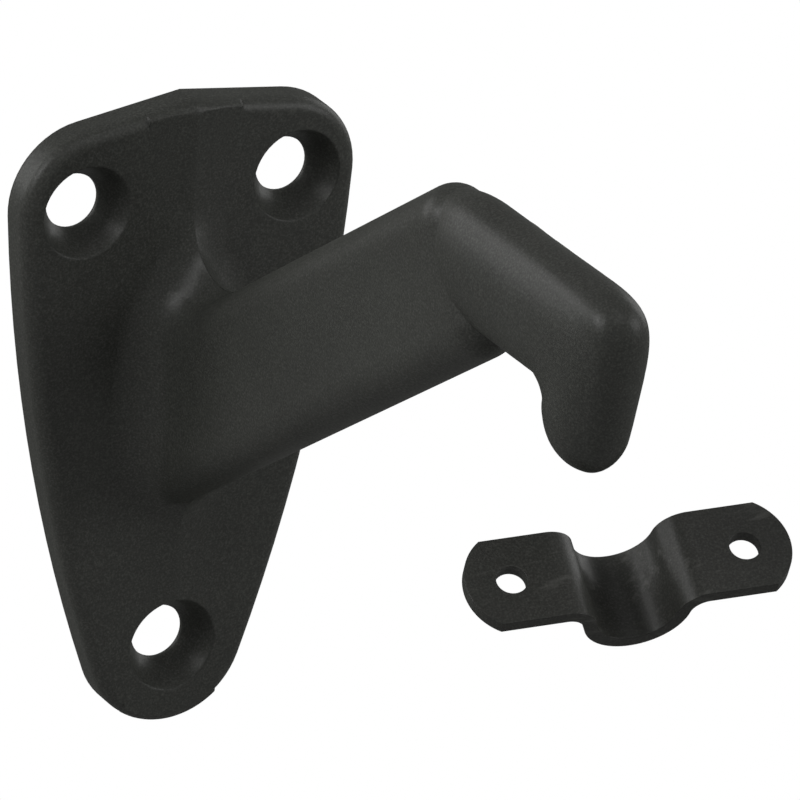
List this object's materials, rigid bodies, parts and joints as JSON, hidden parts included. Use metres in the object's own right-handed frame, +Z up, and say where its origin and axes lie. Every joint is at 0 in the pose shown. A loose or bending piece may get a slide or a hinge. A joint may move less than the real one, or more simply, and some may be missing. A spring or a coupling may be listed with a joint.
{
  "type": "handrail bracket",
  "caption": "Wall bracket for a handrail: shield-shaped wall plate, rising arm with a level oval finger and a downturned tip, shown with its bent rail strap taken off.",
  "frame": {"origin": "on the plate's back face, which is the wall's surface, midway between the two upper screw holes", "axes": "+Y into the wall, -Y is the way the arm projects into the room; +Z up; +X to the right for someone facing the wall"},
  "size_m": [0.0463, 0.0973, 0.0916],
  "materials": {
    "black_casting": "matt powder coat",
    "black_strip": "matt powder coat, slightly rubbed on the bends"
  },
  "bodies": {
    "root": {"bracket_casting": "black_casting", "rail_strap": "black_strip"}
  },
  "joints": []
}
